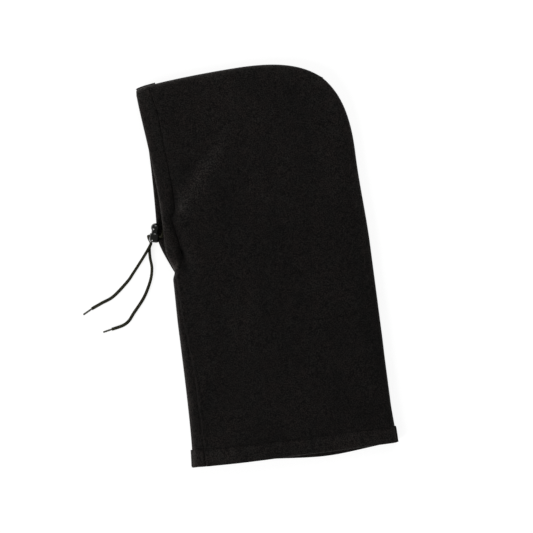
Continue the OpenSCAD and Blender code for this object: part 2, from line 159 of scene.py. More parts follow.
# -------- outline of the flat hood
CHIN = np.array([-HALF_W + 4.5, CHIN_Y - 5])
BROW = np.array([-HALF_W - 11.3, CROWN_Y - 11.0])
NAPE = np.array([HALF_W - 0.9, CROWN_Y - 115.5])
APEX = np.array([0.0, CROWN_Y])
NEAR_JAW = np.array([-HALF_W - 1.9, CHIN_Y + 16.5])
NEAR_CHEEK = np.array([-HALF_W - 1.8, CHIN_Y + 54])
FAR_CHEEK = np.array([-HALF_W - 10.8, CHIN_Y + 40])
OCCIPUT = [APEX, (78, CROWN_Y + 0.3), NAPE + [1.2, 89.5], NAPE]
CROWN_FRONT = [BROW, BROW + [2.8, 4.8], (-45, CROWN_Y - 0.5), APEX]
NEAR_FACE = [
    [CHIN, CHIN + [-1.5, 6], CHIN + [-3.6, 13.5], NEAR_JAW],
    [NEAR_JAW, NEAR_JAW + [-0.9, 9.5], NEAR_CHEEK + [0, -14], NEAR_CHEEK],
    [NEAR_CHEEK, NEAR_CHEEK + [1.3, 60], BROW + [-4.0, -6.0], BROW],
]
FAR_FACE = [
    [CHIN, CHIN + [-3.1, 7], FAR_CHEEK + [0.2, -13.5], FAR_CHEEK],
    [FAR_CHEEK, FAR_CHEEK + [3.3, 24], BROW + [7.1, -19.4], BROW],
]


def resampled(points, fractions):
    """Points at fractions of the length along a line of points."""
    step = np.linalg.norm(np.diff(points, axis=0), axis=1)
    run = np.concatenate([[0], np.cumsum(step)])
    at = np.asarray(fractions) * run[-1]
    return np.stack([np.interp(at, run, points[:, k]) for k in range(points.shape[1])], -1)


def hem_edge(near, s):
    """The bottom edge: the upper side is nearly straight, the lower side hangs below it."""
    left, right = neck_edge(-1, 2)[0, 0], neck_edge(1, 2)[0, 0]
    x = mix(left, right, s)
    if near:
        y = HEM_Y - 0.8 - 1.1 * s + 1.8 * (1 - s) ** 14
    else:
        y = HEM_Y - 0.6 - 7.0 * bump(x - 37, 60)
    return np.stack([x, y], -1)


def neck_edge(side, count):
    """A side edge of the neck, from the hem up: flared at the hem, drawn in a little above it."""
    y = np.linspace(HEM_Y + 1, CHIN[1] if side < 0 else NAPE[1], count)
    if side < 0:
        x = HALF_W - 0.3 + 4.4 * np.exp((HEM_Y - y) / 46) - 1.2 * smooth((y - 165) / 60)
        x = x - 3.0 * smooth((y - CHIN[1] + 9) / 9)
    else:
        x = HALF_W + 1.9 + 0.3 * smooth((y - 100) / 30) + 1.4 * (1 - smooth((y - 12) / 40))
        x = x - 3.1 * smooth((y - 235) / 100)
    return np.stack([side * x, y], -1)


def front_edge(near):
    face = NEAR_FACE if near else FAR_FACE
    t = np.linspace(0, 1, 60)
    return np.concatenate([neck_edge(-1, 90)] + [bez(curve, t)[1:] for curve in face])


def back_edge():
    t = np.linspace(1, 0.5, 60)
    return np.concatenate([neck_edge(1, 120)[:-1], bez(OCCIPUT, t)])


def crown_edge():
    brow = bez(CROWN_FRONT, np.linspace(0, 1, 60))
    return np.concatenate([brow[:-1], bez(OCCIPUT, np.linspace(0, 0.5, 60))])


def inwards_from(line):
    """Directions square to a line of points, to its right: into the cloth from the face edge."""
    along = np.gradient(line, axis=0)
    return unit(np.stack([along[:, 1], -along[:, 0]], -1))


def share_across(x):
    """0 along the front of the hood, 1 along its back."""
    return (x + HALF_W) / (2 * HALF_W)


# -------- the grid that both sides share
def angles(r, steps):
    """Distances from an edge at even angles round a fold of radius r."""
    return [r * (1 - math.cos(math.radians(a))) for a in steps]


ROLL_STEPS = np.array(angles(EDGE_R, (0, 12, 24, 36, 48, 60, 75, 90)))
FRONT_STEPS = np.concatenate([angles(FOLD_R, (0, 15, 30, 45, 60, 75, 90)), np.arange(4.2, 13.5, 1.1),
                              np.arange(14.3, 22.6, 0.42), np.arange(23.5, 29.0, 1.1)])
HEM_STEPS = np.concatenate([angles(HEM_R, (0, 30, 60, 90)), np.arange(2.8, 28.0, 0.8)])
ACROSS, ALONG = 104, 200  # even steps between the listed ones
FOLD_ANGLES = (15, 30, 45, 60, 75, 90)
CASING_FLAP = np.concatenate([angles(FOLD_R, FOLD_ANGLES), np.linspace(FOLD_R, CASING_PLY, 15)[1:]])
SEAM_FLAP = np.linspace(0, SEAM_DEEP, 6)[1:]
CLOSED_FLAP = np.linspace(0, SEAM_DEEP, len(CASING_FLAP) + 1)[1:]


def spread(first, last, total, count):
    """Distances from 0 to total: those listed from each end, and count even steps between them."""
    inner = np.linspace(first[-1], total - last[-1], count + 2)[1:-1]
    return np.concatenate([first, inner, total - last[::-1]])


def plan(near):
    """The grid's plan positions, and each point's distance from the face, back, hem and crown edges."""
    left, right, top = front_edge(near), back_edge(), crown_edge()
    height = CROWN_Y - HEM_Y
    v = spread(HEM_STEPS, ROLL_STEPS, height, ALONG) / height
    lf, rt = resampled(left, v), resampled(right, v)
    span = np.linalg.norm(rt - lf, axis=1)
    s = np.array([spread(FRONT_STEPS, ROLL_STEPS, w, ACROSS) / w for w in span])
    s3, v3 = s[..., None], v[:, None, None]
    high = resampled(top, s.ravel()).reshape(s.shape + (2,))
    xy = (mix(hem_edge(near, s), high, v3) + mix(lf[:, None], rt[:, None], s3)
          - mix(mix(left[0], right[0], s3), mix(left[-1], right[-1], s3), v3))
    run = np.linalg.norm(np.diff(xy, axis=0), axis=2)
    up = np.concatenate([np.zeros((1, s.shape[1])), np.cumsum(run, axis=0)])
    return xy, s * span[:, None], (1 - s) * span[:, None], up, up[-1] - up


def to_line(x, y, points):
    """Signed distance from each point to a line of points (plus on its left), and how far along it lies."""
    best = np.full(x.shape, 1e9)
    sign = np.ones(x.shape)
    along = np.zeros(x.shape)
    run = 0.0
    pts = np.array(points, float)
    for a, b in zip(pts[:-1], pts[1:]):
        d = b - a
        length = float(np.hypot(*d))
        t = np.clip(((x - a[0]) * d[0] + (y - a[1]) * d[1]) / length**2, 0, 1)
        ex, ey = x - a[0] - t * d[0], y - a[1] - t * d[1]
        dist = np.hypot(ex, ey)
        closer = dist < best
        best = np.where(closer, dist, best)
        sign = np.where(closer, np.sign(d[0] * ey - d[1] * ex), sign)
        along = np.where(closer, run + t * length, along)
        run += length
    return best * sign, along / run


# -------- heights
def stitch_distance(y):
    """Distance of the casing's stitch line from the face edge; it wanders where the cord gathers it."""
    at = CHIN_Y + np.array([7, 12, 27, 43, 51, 56, 61, 66, 90, 116, 142, 182, 209])
    return np.interp(y, at, [13.5, 16.6, 17.0, 14.0, 11.8, 11.2, 13.6, 16.8, 17.8, 18.0, 18.2, 19.7, 15.5])


def gathered(y):
    """How much the cord gathers the casing: 1 beside the cord lock, 0 further up."""
    return smooth((y - CHIN_Y - 4) / 12) * (1 - smooth((y - CHIN_Y - 66) / 50))


CASING_END = [(-HALF_W + 15.4, CHIN_Y + 16), (-HALF_W + 15.0, CHIN_Y + 10), (-HALF_W + 13.7, CHIN_Y + 4),
              (-HALF_W + 10.6, CHIN_Y - 1.3), (-HALF_W + 6.0, CHIN_Y - 4.7)]
VALLEY = [(-HALF_W + 15.5, CHIN_Y + 27), (-HALF_W + 16.7, CHIN_Y + 12), (-HALF_W + 20.5, CHIN_Y - 10)]
LOBE = np.array([-HALF_W + 7.5, CHIN_Y + 1])
FRONT_SEAM = [(-HALF_W + 5.6, CHIN_Y - 4), (-HALF_W + 5.6, CHIN_Y - 50), (-HALF_W + 8.2, CHIN_Y - 80),
              (-HALF_W + 10.3, CHIN_Y - 106), (-HALF_W + 11.7, CHIN_Y - 138), (-HALF_W + 11.8, HEM_Y)]
SOFT_FOLD = [(-HALF_W + 19, CHIN_Y + 58), (-HALF_W + 32, CHIN_Y + 78), (-HALF_W + 48, CHIN_Y + 97),
             (-HALF_W + 67, CHIN_Y + 117), (-HALF_W + 76, CHIN_Y + 132), (-HALF_W + 99, CHIN_Y + 165)]


def hem_stitch(x):
    """Distance of the hem's stitch line above the hem's edge."""
    return 21.3 - 2.4 * share_across(x)


# How far each feature of the upper side stands up from the cloth around it, or is pressed into it
BROAD_SLACK, FINE_SLACK = 0.75, 0.28
SOFT_RISE, SOFT_DIP = 2.4, 1.2
TUBE_RISE, TUBE_PUCKER = 1.25, 0.42
BODY_RISE, BODY_PUCKER, BODY_RIDGE = 0.5, 0.45, 0.9
LOBE_RISE, LOBE_CREASE = 2.6, 1.1
VALLEY_RISE, VALLEY_DIP = 0.8, 2.0
SEAM_RISE, SEAM_DIP = 0.5, 1.1
HEM_RISE, HEM_PUCKER, HEM_DIP = 0.55, 0.45, 1.0


def resting_height(x, y):
    """The upper side before anything folds it, with the loft of its middle and the gape of its hem."""
    across = share_across(x)
    front = mix(NECK_TOP, FACE_TOP, smooth((y - CHIN_Y + 46) / 56))
    gape = GAPE * (1 - smooth((y - HEM_H) / (FOLD_Y - HEM_H)))
    loft = LOFT * np.sin(math.pi * smooth(y / CROWN_Y * 1.05))
    return mix(front, BACK_TOP, smooth(across)) + np.sin(math.pi * np.clip(across, 0, 1)) * (gape + loft)


def slack_relief(x, y, fd, bd, cd):
    """Broad slack in the cloth, and a soft fold that runs up from the cheek."""
    interior = smooth((bd - 4) / 26) * smooth((cd - 4) / 26) * smooth((fd - 6) / 22)
    slack = interior * (BROAD_SLACK * waves(x, y, 3, 95) + FINE_SLACK * waves(x, y, 8, 38))
    fold_d, fold_t = to_line(x, y, SOFT_FOLD)
    fold = SOFT_RISE * bump(fold_d, 9.5) - SOFT_DIP * bump(fold_d + 16, 10)
    return slack + within(fold_t, 0.1, 0.5) * fold


def casing_relief(y, fd, cd):
    """The face casing: a tube between the folded edge and the stitch line, puckered where it is gathered."""
    past = fd - stitch_distance(y)
    drawn = gathered(y)
    pucker = waves(y, 0 * y, 11, 13, 5) + 0.6 * waves(y + 0.5 * fd, 0 * y, 12, 7.5, 4)
    pucker = (0.35 + 0.95 * drawn) * pucker
    tube = TUBE_RISE * np.sin(math.pi * np.clip(fd / stitch_distance(y), 0, 1)) ** 0.8
    tube = tube + TUBE_PUCKER * pucker * bump(past + 5, 6.5)
    body = BODY_RISE * smooth(past / 10) * (1 - smooth((past - 15) / 60))
    body = body + BODY_PUCKER * pucker * bump(past - 5, 6) + BODY_RIDGE * drawn * bump(past - 9, 5)
    stitches = 1 + 0.22 * np.cos(2 * math.pi * y / STITCH_PITCH)
    groove = (0.95 + 0.7 * drawn) * bump(past, 0.62) * stitches + (0.1 + 1.9 * drawn) * bump(past, 5.5)
    ends = smooth((y - CHIN_Y - 6) / 9) * smooth((cd - 1) / 4)
    return (np.where(past < 0, tube, body) - groove) * ends * roll(fd, 3)


def chin_relief(x, y, fd):
    """The lobe that the casing ends in, the crease round it, and the valley between it and the cheek."""
    end_d, end_t = to_line(x, y, CASING_END)
    at_lobe = bump(np.hypot(x - LOBE[0], (y - LOBE[1]) * 0.8), 10.5) * roll(fd, 3.5)
    lobe = LOBE_RISE * smooth((0.4 - end_d) / 1.8) * at_lobe
    crease = LOBE_CREASE * bump(end_d - 0.4, 1.0) * within(end_t, 0.08, 0.1, 1.02)
    valley_d, valley_t = to_line(x, y, VALLEY)
    valley = VALLEY_RISE * bump(valley_d - 10, 5) - VALLEY_DIP * bump(valley_d - 0.5, 4)
    return lobe - crease + within(valley_t, 0.3, 0.3) * valley


def front_seam_relief(x, y, fd, is_open):
    """The seam down the front of the neck: a line that is pressed in, with a puckered ridge behind it."""
    seam_d, seam_t = to_line(x, y, FRONT_SEAM)
    puckers = 1 + 0.25 * waves(y, 0 * y, 31, 6, 5)
    ridge = SEAM_RISE * puckers * bump(seam_d - 2.6, 1.8) - SEAM_DIP * bump(seam_d, 0.85)
    return smooth(seam_t / 0.03) * roll(fd, EDGE_R) * (1 - is_open) * ridge


def hem_relief(x, hd):
    """The hem: two plies thick below its stitch line, and pressed down along it."""
    past = hd - hem_stitch(x)
    stitches = 1 + 0.2 * np.cos(2 * math.pi * x / STITCH_PITCH)
    pucker = waves(x, 0 * x, 41, 11, 6) * bump(past + 5, 6.5)
    return HEM_RISE * smooth(-past / 3) + HEM_PUCKER * pucker - HEM_DIP * bump(past, 0.9) * stitches


def upper_height(x, y, fd, bd, hd, cd, is_open):
    """Height of the upper side's outer face; fd, bd, hd and cd are distances from its four edges."""
    top = resting_height(x, y) + slack_relief(x, y, fd, bd, cd)
    middle = FACE_LOW + FOLD_R
    open_z = middle + (top - middle) * roll(fd, FOLD_R) + casing_relief(y, fd, cd)
    closed = SEAM_Z + (top - SEAM_Z) * roll(fd, EDGE_R)
    z = mix(closed, open_z, is_open) + chin_relief(x, y, fd) + front_seam_relief(x, y, fd, is_open)
    z = z + roll(fd, EDGE_R) * hem_relief(x, hd)
    inside = roll(bd, EDGE_R) * roll(cd, EDGE_R)
    z = SEAM_Z + (z - SEAM_Z) * inside
    return z - HEM_R * (1 - roll(hd, HEM_R)) * inside * mix(roll(fd, EDGE_R), 1, is_open)


def lower_height(x, y, fd, bd, hd, cd, is_open):
    """Height of the lower side's outer face, which lies on the table."""
    closed = SEAM_Z * (1 - roll(fd, EDGE_R))
    z = mix(closed, FOLD_R * (1 - roll(fd, FOLD_R)), is_open)
    inside = roll(bd, EDGE_R) * roll(cd, EDGE_R)
    z = SEAM_Z + (z - SEAM_Z) * inside
    g = stitch_distance(y)
    z = z + is_open * smooth((cd - 7) / 12) * 0.7 * bump(fd - g, 1.1)
    z = z + 0.6 * bump(hd - hem_stitch(x), 0.9) * roll(fd, EDGE_R) * inside
    z = z + inside * roll(fd, EDGE_R) * 0.25 * (1 + waves(x, y, 51, 50))
    return z + HEM_R * (1 - roll(hd, HEM_R)) * inside * mix(roll(fd, EDGE_R), 1, is_open)


# -------- one side of the garment
SETTLE_ROWS, SETTLE_COLS, SETTLE_FRAMES = 84, 46, 24
SETTLE_SLACK = 0.004  # how much larger the cloth is than its pinned edges
SETTLE_RELIEF = 0.5  # spread of the heights that are kept
SETTLE_LIMIT = 1.6


def blurred(grid, times):
    """A grid of values, averaged with its neighbours some number of times."""
    for _ in range(times):
        p = np.pad(grid, 1, mode="edge")
        grid = (p[1:-1, 1:-1] * 2 + p[:-2, 1:-1] + p[2:, 1:-1] + p[1:-1, :-2] + p[1:-1, 2:]) / 6
    return grid


def on_coarse(values, rows, columns):
    """Values of the fine grid, at even steps along its rows and columns."""
    even = np.linspace(0, 1, SETTLE_COLS)
    wide = np.array([np.interp(even, c, r) for c, r in zip(columns, values)])
    return np.array([np.interp(np.linspace(0, 1, SETTLE_ROWS), rows, c) for c in wide.T]).T


def settled(x, y, z, fd, bd, hd, cd):
    """Change of height as a coarse copy, a little too large for its pinned edges, drops under its weight."""
    rows, columns = hd[:, 0] / (hd + cd)[:, 0], fd / (fd + bd)
    free = smooth((fd - 24) / 14) * smooth((bd - 10) / 14) * smooth((hd - 24) / 14) * smooth((cd - 12) / 14)
    start = np.stack([on_coarse(a, rows, columns) for a in (x, y, z)], -1)
    loose = on_coarse(free, rows, columns)
    sheet = link("settling", grid_mesh("settling", start, True))
    sheet.vertex_groups.new(name="pinned")
    for i, hold in enumerate(1 - loose.ravel()):
        sheet.vertex_groups[0].add([i], float(hold), "REPLACE")
    cloth = sheet.modifiers.new("cloth", "CLOTH")
    cloth.settings.vertex_group_mass = "pinned"
    cloth.settings.quality = 5
    cloth.settings.mass = 0.02
    cloth.settings.tension_stiffness = cloth.settings.compression_stiffness = 12
    cloth.settings.bending_stiffness = 0.08
    cloth.settings.shrink_min = -SETTLE_SLACK
    cloth.point_cache.frame_end = SETTLE_FRAMES
    for step in range(1, SETTLE_FRAMES + 1):
        bpy.context.scene.frame_set(step)
    bake_modifiers(sheet)
    points = np.zeros(start.size, np.float32)
    sheet.data.vertices.foreach_get("co", points)
    bpy.data.objects.remove(sheet)
    bpy.context.scene.frame_set(1)
    change = points.reshape(start.shape)[..., 2] / MM - start[..., 2]
    change = blurred(change, 2) - blurred(change, 50)
    change *= SETTLE_RELIEF / max(change.std(), 0.01)
    change = np.clip(change, -SETTLE_LIMIT, SETTLE_LIMIT) * loose
    up = np.array([np.interp(rows, np.linspace(0, 1, SETTLE_ROWS), c) for c in change.T]).T
    return np.array([np.interp(c, np.linspace(0, 1, SETTLE_COLS), r) for c, r in zip(columns, up)])


def face_flap(near, x, y, fd, cd, is_open):
    """The ply turned in along the face edge, which becomes a seam allowance below the chin."""
    o = is_open[:, :1]
    y_edge = y[:, :1]
    reach = mix(CLOSED_FLAP[None], CASING_FLAP[None], o)
    sign = 1 if near else -1
    low = FACE_LOW if near else FAR_FACE_TOP
    flat = np.ones(len(CASING_FLAP) - len(FOLD_ANGLES))
    fall = np.concatenate([np.sin(np.radians(FOLD_ANGLES)), flat])
    turned = low + sign * FOLD_R * (1 - fall)[None] + 0 * reach
    slack = 0.3 * waves(y_edge + 0 * reach, 3 * reach, 61 + near, 16) * smooth((reach - 4) / 6)
    turned = turned + slack - sign * 0.2 * bump(reach - stitch_distance(y_edge), 1.2)
    turned = SEAM_Z + (turned - SEAM_Z) * roll(cd[:, :1], EDGE_R)
    z = mix(np.full_like(reach, SEAM_Z + sign * SEAM_GAP), turned, o)
    xy = np.array([np.stack([np.interp(r, d, px), np.interp(r, d, py)], -1)
                   for r, d, px, py in zip(reach, fd, x, y)])
    return np.concatenate([xy, z[..., None]], -1)[:, ::-1]


def back_allowance(main, level):
    """The seam allowance behind the back edge, as columns beyond the last one."""
    flap = np.repeat(main[:, -1:], len(SEAM_FLAP), 1).copy()
    flap[..., 0] -= SEAM_FLAP[None]
    flap[..., 2] = level
    return flap


def crown_allowance(main, level):
    """The seam allowance under the crown edge, as rows beyond the last one."""
    flap = np.repeat(main[-1:], len(SEAM_FLAP), 0).copy()
    down = unit(main[-5, :, :2] - main[-1, :, :2])
    flap[..., :2] += down[None] * SEAM_FLAP[:, None, None]
    flap[..., 2] = level
    return flap


def hem_ply(near, main, fd, bd, hd):
    """The ply turned in along the hem, as rows from its inner end down to the folded edge."""
    sign = 1 if near else -1
    rows = int(np.searchsorted(hd[:, len(FRONT_STEPS)], HEM_H - 1.5))
    deep = hd[1:rows]
    weight = (roll(fd, EDGE_R) * roll(bd, EDGE_R))[1:rows]
    ply = main[1:rows].copy()
    level = main[4:5, :, 2]
    arc = np.sqrt(np.clip(1 - (1 - np.clip(deep / HEM_R, 0, 1)) ** 2, 0, 1))
    z = level - sign * HEM_R * weight[:1] - sign * HEM_R * arc * weight
    z = z + smooth((deep - HEM_R) / 3) * (ply[..., 2] - level) * 0.6
    ply[..., 2] = np.maximum(z, SEAM_Z + SEAM_GAP) if near else np.minimum(z, SEAM_Z - SEAM_GAP)
    return ply[::-1]


def side_grid(near):
    """One side's points as (rows, columns, 3), with its turned-in edges; the corners left out hold nan."""
    xy, fd, bd, hd, cd = plan(near)
    x, y = xy[..., 0], xy[..., 1]
    is_open = smooth((y - CHIN_Y + 3) / 14)
    z = (upper_height if near else lower_height)(x, y, fd, bd, hd, cd, is_open)
    if near:
        z = z + settled(x, y, z, fd, bd, hd, cd)
    main = np.stack([x, y, z], -1)
    level = SEAM_Z + (SEAM_GAP if near else -SEAM_GAP)
    flap = face_flap(near, x, y, fd, cd, is_open)
    body = np.concatenate([flap, main, back_allowance(main, level)], 1)
    crown, hem = crown_allowance(main, level), hem_ply(near, main, fd, bd, hd)

    grid = np.full((len(hem) + len(body) + len(crown), body.shape[1], 3), np.nan)
    columns = slice(flap.shape[1], flap.shape[1] + main.shape[1])
    grid[:len(hem), columns] = hem
    grid[len(hem):len(hem) + len(body)] = body
    grid[len(hem) + len(body):, columns] = crown
    return grid


def grid_mesh(name, grid, upwards):
    """A mesh of the grid's complete cells, in metres, facing up or down."""
    rows, cols = grid.shape[:2]
    there = ~np.isnan(grid[..., 0])
    index = np.full((rows, cols), -1)
    index[there] = np.arange(there.sum())
    a, b, c, d = index[:-1, :-1], index[:-1, 1:], index[1:, 1:], index[1:, :-1]
    full = (a >= 0) & (b >= 0) & (c >= 0) & (d >= 0)
    order = (a, b, c, d) if upwards else (a, d, c, b)
    faces = np.stack([q[full] for q in order], -1)
    mesh = bpy.data.meshes.new(name)
    mesh.from_pydata((grid[there] * MM).tolist(), [], faces.tolist())
    mesh.update()
    return mesh


def link(name, data):
    obj = bpy.data.objects.new(name, data)
    bpy.context.scene.collection.objects.link(obj)
    return obj


def shade_smooth(obj):
    obj.data.polygons.foreach_set("use_smooth", [True] * len(obj.data.polygons))
    obj.data.update()


def bake_modifiers(obj):
    """Applies the object's modifiers to its mesh."""
    view = bpy.context.evaluated_depsgraph_get()
    mesh = bpy.data.meshes.new_from_object(obj.evaluated_get(view))
    obj.modifiers.clear()
    obj.data = mesh
    return obj


# How much paler (plus) or darker (minus) each area is painted. The crest of the soft fold, the edges, the
# chin lobe and the front of the neck get painted light where light falls on them; the shade and behind areas
# get painted shade; the groove area gets painted shade in its valley and painted light on the ridge beside
# it; the casing, hem and crown are painted paler, in part as painted light.
PAINTED_LIGHT_TONES = {"crest_highlight": 1.1, "casing": 0.25, "hem": 0.42, "rim": 0.75, "lobe": 2.0, "shade": -0.16, "front": 0.25,
         "groove": 0.55, "behind": -0.15, "crown": 0.15}


def painted_light_areas(x, y, near):
    """How strongly each area of painted light and painted shade named in the tones table covers each point.
    """
    face = resampled(front_edge(near), np.linspace(0, 1, 60))
    inwards = -to_line(x, y, face)[0]
    past = inwards - stitch_distance(y)
    fold_d, fold_t = to_line(x, y, SOFT_FOLD)
    crown_d = to_line(x, y, crown_edge()[::6])[0]
    back_d = to_line(x, y, resampled(back_edge(), np.linspace(0, 1, 40)))[0]
    # painted rim light along the crown, the face edge, the brow and the upper back edge
    rim = 0.5 * bump(crown_d, 4.5) + 0.45 * bump(crown_d, 12) + bump(inwards, 3)
    rim = rim + 0.6 * bump(np.hypot(x - BROW[0], y - BROW[1]), 22)
    rim = rim + 0.55 * bump(back_d, 7) * smooth((y - 150) / 80)
    # painted shade in the groove by the gathered stitch line and in the valley below it, painted light on
    # the ridge beside each
    groove = gathered(y) * (0.55 * bump(past - 9, 5) - bump(past, 4.5))
    valley_d, valley_t = to_line(x, y, VALLEY)
    valley = 0.5 * bump(valley_d - 10, 5) - 0.8 * bump(valley_d, 4)
    end_d = to_line(x, y, CASING_END)[0]
    # painted highlights on the fold's crest and the chin lobe, painted shade beside the fold and behind the
    # stitch line
    return {
        "crest_highlight": bump(fold_d, 9) * within(fold_t, 0.06, 0.4, 0.9),
        "casing": smooth(-past / 3) * smooth((y - CHIN_Y) / 20),
        "hem": smooth((HEM_H + 3 - y) / 4),
        "rim": rim,
        "lobe": smooth(-end_d / 2) * bump(np.hypot(x - LOBE[0] + 1, y - LOBE[1] + 1.5), 7),
        "shade": bump(fold_d - 15, 12) * within(fold_t, 0.1, 0.4),
        "front": smooth((16 - inwards) / 12) * smooth((CHIN_Y - y) / 20),
        "groove": groove + within(valley_t, 0.3, 0.3) * valley,
        "behind": bump(past - 12, 10) * smooth((y - CHIN_Y - 80) / 30),
        "crown": smooth((y - 200) / 200),
    }


def paint_light_and_shade(obj, near):
    """Paints light and shade into the fleece colour through the mesh's nap value: painted light, paler,
    along edges and folds and where light falls, painted shade, darker, in grooves and beside folds.
    """
    co = np.zeros(len(obj.data.vertices) * 3, np.float32)
    obj.data.vertices.foreach_get("co", co)
    x, y = co.reshape(-1, 3)[:, 0] / MM, co.reshape(-1, 3)[:, 1] / MM
    areas = painted_light_areas(x, y, near)
    painted_light = sum(PAINTED_LIGHT_TONES[area] * areas[area] for area in PAINTED_LIGHT_TONES)
    # the painted light and shade is kept in the mesh as its nap value
    nap = obj.data.attributes.new("nap", "FLOAT", "POINT")
    nap.data.foreach_set("value", painted_light.astype(np.float32))


def cloth_side(name, near):
    obj = link(name, grid_mesh(name, side_grid(near), near))
    solid = obj.modifiers.new("ply", "SOLIDIFY")
    solid.thickness = PLY * MM
    solid.offset = -1
    bake_modifiers(obj)
    paint_light_and_shade(obj, near)
    shade_smooth(obj)
    return obj


# -------- materials
def new_material(name):
    mat = bpy.data.materials.new(name)
    mat.use_nodes = True
    tree = mat.node_tree
    place = tree.nodes.new("ShaderNodeTexCoord").outputs["Object"]
    return mat, tree, tree.nodes["Principled BSDF"], place


def finish(tree, shader, colour, **values):
    """Plugs in a material's colour, and sets the shader's other inputs, named with _ for each space."""
    tree.links.new(colour, shader.inputs["Base Color"])
    for key, value in values.items():
        shader.inputs[key.replace("_", " ")].default_value = value


def node(tree, kind, **values):
    made = tree.nodes.new(kind)
    for key, value in values.items():
        if key in made.inputs:
            made.inputs[key].default_value = value
        else:
            setattr(made, key, value)
    return made


def noise(tree, vector, scale, detail=2.0, rough=0.5, stretch=(1, 1, 1)):
    mapping = node(tree, "ShaderNodeMapping")
    mapping.inputs["Scale"].default_value = stretch
    tree.links.new(vector, mapping.inputs["Vector"])
    made = node(tree, "ShaderNodeTexNoise", Scale=scale, Detail=detail, Roughness=rough)
    tree.links.new(mapping.outputs["Vector"], made.inputs["Vector"])
    return made.outputs["Fac"]


def ramp(tree, value, stops):
    made = node(tree, "ShaderNodeValToRGB")
    while len(made.color_ramp.elements) < len(stops):
        made.color_ramp.elements.new(0.5)
    for element, (at, colour) in zip(made.color_ramp.elements, stops):
        element.position = at
        element.color = (*colour, 1) if len(colour) == 3 else colour
    tree.links.new(value, made.inputs["Fac"])
    return made.outputs["Color"]


def mixed(tree, factor, a, b, blend="MIX"):
    made = tree.nodes.new("ShaderNodeMix")
    made.data_type = "RGBA"
    made.blend_type = blend
    for socket, value in ((made.inputs[0], factor), (made.inputs[6], a), (made.inputs[7], b)):
        if isinstance(value, bpy.types.NodeSocket):
            tree.links.new(value, socket)
        elif isinstance(value, (tuple, list)):
            socket.default_value = (*value, 1)
        else:
            socket.default_value = value
    return made.outputs[2]


def maths(tree, operation, a, b=0.0):
    made = node(tree, "ShaderNodeMath", operation=operation)
    for socket, value in zip(made.inputs, (a, b)):
        if isinstance(value, bpy.types.NodeSocket):
            tree.links.new(value, socket)
        else:
            socket.default_value = value
    return made.outputs[0]


def scaled(tree, colour, factor):
    """A colour times a plain number from another node."""
    made = node(tree, "ShaderNodeVectorMath", operation="SCALE")
    tree.links.new(colour, made.inputs[0])
    tree.links.new(factor, made.inputs["Scale"])
    return made.outputs["Vector"]


def bumped(tree, shader, height, distance, strength=1.0):
    made = node(tree, "ShaderNodeBump", Strength=strength, Distance=distance)
    tree.links.new(height, made.inputs["Height"])
    tree.links.new(made.outputs["Normal"], shader.inputs["Normal"])
    return made


def grey(value):
    return (value, value, value)


def times(tree, colour, *others):
    """A colour multiplied by others."""
    for other in others:
        colour = mixed(tree, 1.0, colour, other, "MULTIPLY")
    return colour


def lint_specks(tree, place):
    """1 on a few small specks of lint, 0 elsewhere."""
    cells = node(tree, "ShaderNodeTexVoronoi", Scale=52.0)
    tree.links.new(place, cells.inputs["Vector"])
    near_centre = maths(tree, "LESS_THAN", cells.outputs["Distance"], 0.022)
    chosen = node(tree, "ShaderNodeSeparateColor")
    tree.links.new(cells.outputs["Color"], chosen.inputs["Color"])
    return maths(tree, "MULTIPLY", near_centre, maths(tree, "GREATER_THAN", chosen.outputs[0], 0.86))


def fleece_material(name):
    """Brushed micro-fleece: a matte near-black nap, mottled by brushing, with a painted rim light at grazing
    angles, painted light and shade read from the mesh, and some lint.
    """
    mat, tree, shader, place = new_material(name)
    pile = noise(tree, place, 800, 2.0, 0.6)
    clumps = noise(tree, place, 210, 2.0, 0.55, (1, 0.8, 1))
    brushed = noise(tree, place, 26, 3.0, 0.55, (1, 0.6, 1))
    nap = maths(tree, "ADD", maths(tree, "MULTIPLY", pile, 0.82), maths(tree, "MULTIPLY", clumps, 0.18))
    fibre = noise(tree, place, 2900, 3.0, 0.7, (1, 0.4, 1))
    colour = ramp(tree, nap, [(0.405, (0.0006, 0.0005, 0.0005)), (0.63, (0.0128, 0.0111, 0.0103))])
    strands = ramp(tree, fibre, [(0.3, grey(0.5)), (0.7, grey(1.5))])
    patch = ramp(tree, brushed, [(0.3, (0.76, 0.79, 0.79)), (0.7, (1.24, 1.20, 1.18))])
    dye = noise(tree, place, 75, 2.0, 0.5)
    hue = ramp(tree, dye, [(0.36, (0.95, 1.01, 1.01)), (0.5, (1, 1, 1)), (0.64, (1.04, 0.98, 0.97))])
    colour = times(tree, colour, strands, patch, hue)
    # painted light and shade from the mesh's nap value scale the colour up or down
    painted_light = node(tree, "ShaderNodeAttribute", attribute_name="nap").outputs["Fac"]
    # painted rim light: paler where the surface turns away from the view
    facing = node(tree, "ShaderNodeLayerWeight", Blend=0.5).outputs["Facing"]
    rim = maths(tree, "MULTIPLY", maths(tree, "POWER", facing, 4.0), 1.1)
    lift = maths(tree, "ADD", maths(tree, "ADD", painted_light, rim), 1.0)
    colour = scaled(tree, colour, lift)
    lint = maths(tree, "MULTIPLY", lint_specks(tree, place), 0.7)
    colour = mixed(tree, lint, colour, (0.16, 0.16, 0.15))
    finish(tree, shader, colour, Roughness=0.95, Specular_IOR_Level=0.12, Sheen_Weight=0.055,
           Sheen_Roughness=0.42, Sheen_Tint=(0.95, 0.9, 0.86, 1))
    bumped(tree, shader, maths(tree, "ADD", nap, maths(tree, "MULTIPLY", fibre, 0.3)), 0.0009, 0.75)
    return mat


